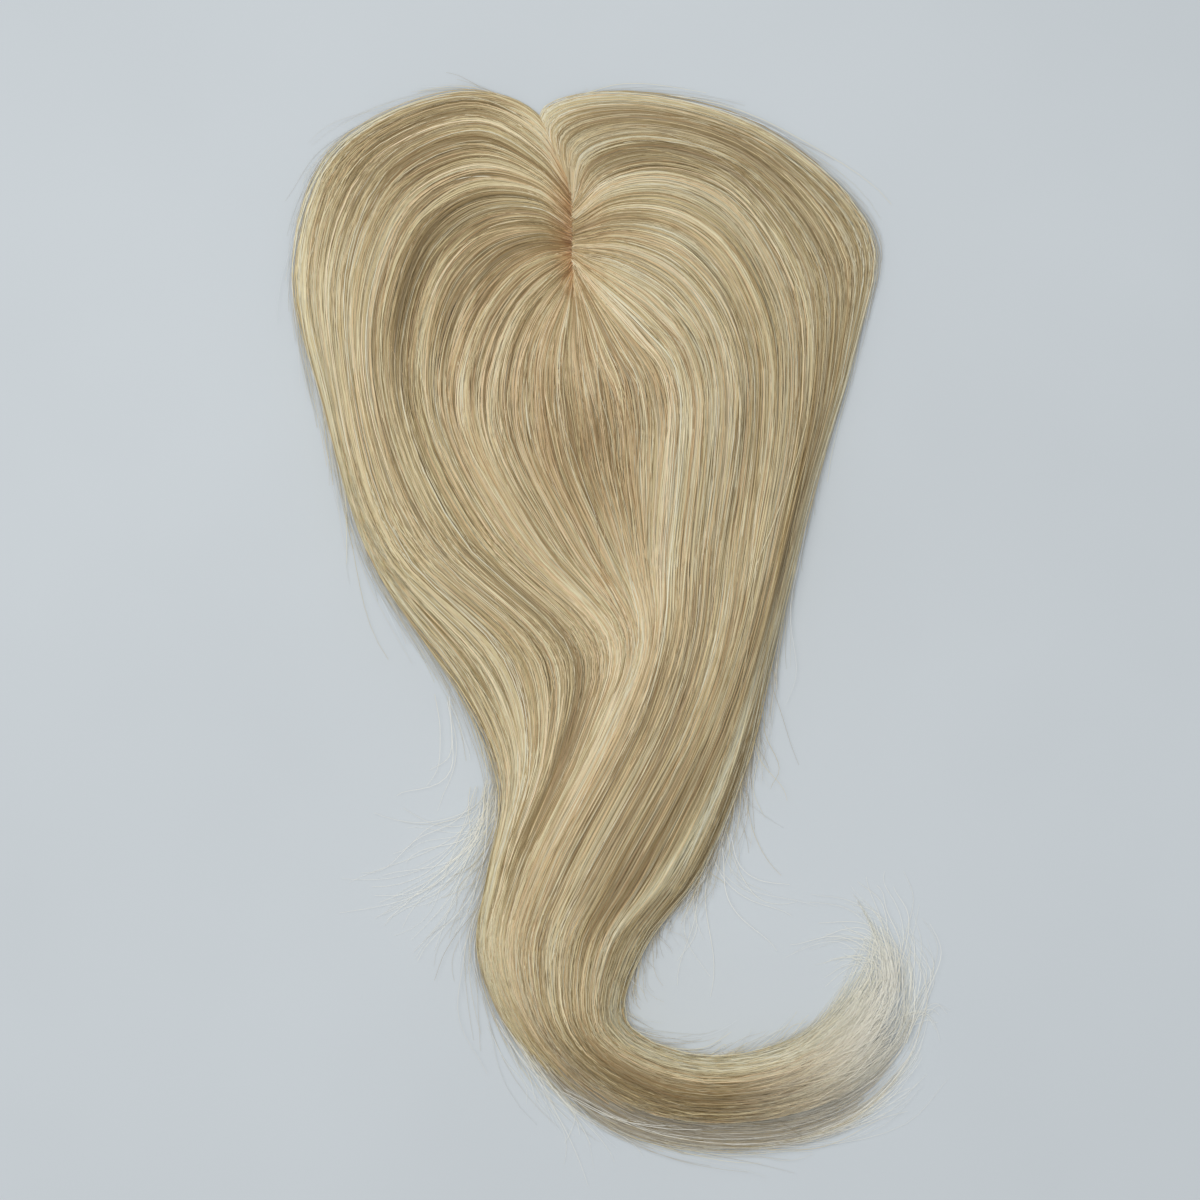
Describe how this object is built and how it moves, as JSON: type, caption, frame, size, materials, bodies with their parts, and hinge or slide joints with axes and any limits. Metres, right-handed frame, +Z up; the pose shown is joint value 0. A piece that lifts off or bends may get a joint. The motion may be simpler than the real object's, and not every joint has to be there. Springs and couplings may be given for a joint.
{
  "type": "hair topper",
  "caption": "Clip-in hair topper of long straight blonde hair, lying flat: a domed skin-coloured base with snap clips below, locks parted in the middle and gathered into a curled tail.",
  "frame": {"origin": "on the table, under the middle of the bounding box of the piece as it lies", "axes": "+X to the right of the picture, +Y to its top, where the forehead edge is, +Z up from the table"},
  "size_m": [0.2136, 0.3602, 0.0364],
  "materials": {
    "hair": "long combed blonde hair with a silky sheen",
    "base": "skin-coloured silk cap",
    "clip": "satin beige snap clip"
  },
  "bodies": {
    "root": {"base": "base", "clip_front": "clip", "clip_left": "clip", "clip_back": "clip", "clip_right": "clip", "lock_fringe_left": "hair", "lock_side_left": "hair", "lock_crown_left": "hair", "lock_nape_left": "hair", "lock_nape_right": "hair", "lock_crown_right": "hair", "lock_side_right": "hair", "lock_fringe_right": "hair"}
  },
  "joints": []
}
